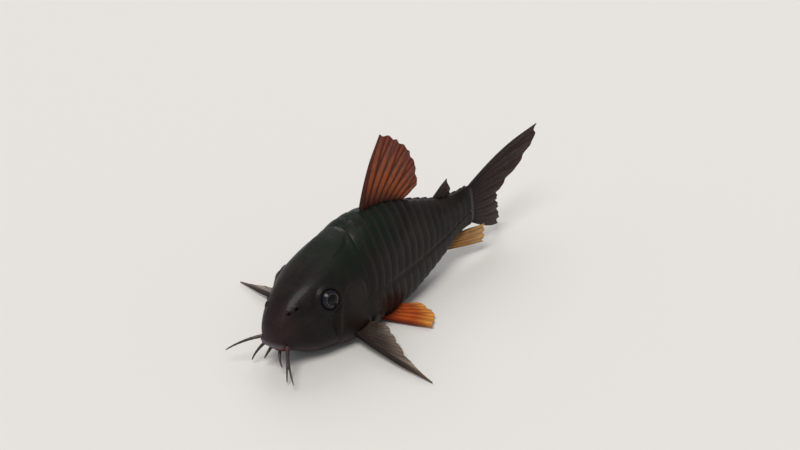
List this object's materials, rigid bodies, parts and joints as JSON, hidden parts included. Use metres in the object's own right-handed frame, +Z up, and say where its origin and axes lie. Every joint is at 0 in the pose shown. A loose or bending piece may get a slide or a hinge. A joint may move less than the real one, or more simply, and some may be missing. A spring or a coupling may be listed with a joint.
{
  "type": "black corydoras catfish model",
  "caption": "Life-size still model of a small black armoured catfish with red and orange fins, resting on its flat belly.",
  "frame": {"origin": "on the flat of the belly that the fish rests on, 40% of the body's length behind the snout, on the middle plane", "axes": "+X towards the tail, so the fish faces -X; -Y is its left side; +Z up from the surface it rests on"},
  "size_m": [0.0705, 0.0484, 0.0303],
  "materials": {
    "skin": "moist satin, near black with brown and dark green lights",
    "barbel": "moist satin, dark brown, paler at the tips",
    "fin_red": "thin moist membrane, red brown with darker rays",
    "fin_orange": "thin moist membrane, orange with darker rays",
    "fin_dark": "thin moist membrane, dark brown",
    "eye": "wet gloss, blue black"
  },
  "bodies": {
    "root": {"head": "skin", "trunk": "skin", "tail": "skin", "dorsal_fin": "fin_red", "adipose_fin": "fin_dark", "anal_fin": "fin_orange", "tail_fin_upper": "fin_dark", "tail_fin_lower": "fin_dark", "eye_l": "eye", "pectoral_fin_l": "fin_dark", "pelvic_fin_l": "fin_orange", "barbel_upper_l": "barbel", "barbel_lower_l": "barbel", "barbel_chin_l": "barbel", "eye_r": "eye", "pectoral_fin_r": "fin_dark", "pelvic_fin_r": "fin_orange", "barbel_upper_r": "barbel", "barbel_lower_r": "barbel", "barbel_chin_r": "barbel"}
  },
  "joints": []
}
